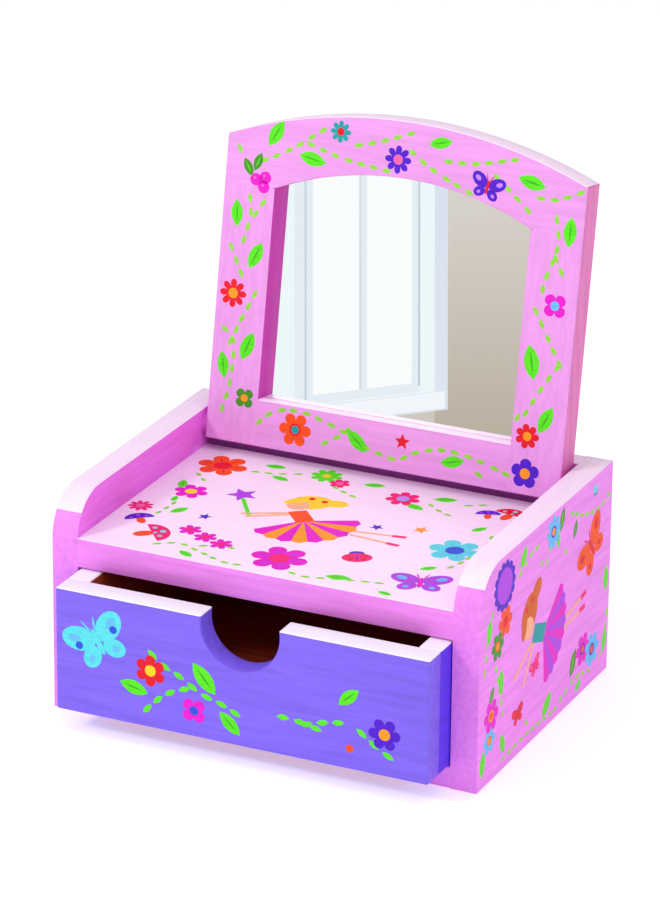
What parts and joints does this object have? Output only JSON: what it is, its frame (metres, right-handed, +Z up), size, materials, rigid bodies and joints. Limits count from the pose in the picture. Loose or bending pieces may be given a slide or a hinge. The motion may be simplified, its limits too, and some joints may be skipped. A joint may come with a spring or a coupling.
{
  "type": "jewellery box",
  "caption": "Painted wooden jewellery box with raised side panels, a deck, a pull-out drawer with a finger notch and an arched mirror that tilts between the sides.",
  "frame": {"origin": "centre of the case's underside, on the surface that the box stands on", "axes": "+X to the box's right seen from the front, +Y to the back, +Z up; the drawer opens along -Y"},
  "size_m": [0.18, 0.1616, 0.2155],
  "materials": {
    "case_paint": "satin paint over wood grain",
    "deck_paint": "satin paint over wood grain",
    "drawer_front_paint": "satin paint over wood grain",
    "drawer_wall_paint": "satin paint over wood grain",
    "mirror_paint": "satin paint over wood grain",
    "mirror_glass": "polished",
    "bare_wood": "bare",
    "pin_paint": "satin paint",
    "spacer_paint": "satin paint",
    "screw_steel": "plated"
  },
  "bodies": {
    "case": {"left_side": "case_paint", "right_side": "case_paint", "deck": "deck_paint", "bottom_board": "case_paint", "back_panel": "case_paint", "deck_dowels": "bare_wood", "bottom_dowels": "bare_wood", "back_dowels": "bare_wood", "left_pivot_pin": "pin_paint", "right_pivot_pin": "pin_paint", "left_spacer": "spacer_paint", "right_spacer": "spacer_paint"},
    "drawer": {"drawer_front": "drawer_front_paint", "drawer_left": "drawer_wall_paint", "drawer_right": "drawer_wall_paint", "drawer_back": "drawer_wall_paint", "drawer_bottom": "drawer_wall_paint", "drawer_dowels": "bare_wood"},
    "mirror": {"mirror_left_stile": "mirror_paint", "mirror_right_stile": "mirror_paint", "mirror_top_rail": "mirror_paint", "mirror_bottom_rail": "mirror_paint", "mirror_glass": "mirror_glass", "mirror_backboard": "bare_wood", "mirror_dowels": "bare_wood", "backboard_screws": "screw_steel"}
  },
  "joints": [
    {"name": "drawer_slide", "type": "slide", "parent": "case", "child": "drawer", "axis": [0, -1, 0], "range_m": [-0.0195, 0.065]},
    {"name": "mirror_tilt", "type": "hinge", "parent": "case", "child": "mirror", "pos_m": [0, 0.04718, 0.0825], "axis": [1, 0, 0], "range_deg": [0, 101.5]}
  ]
}
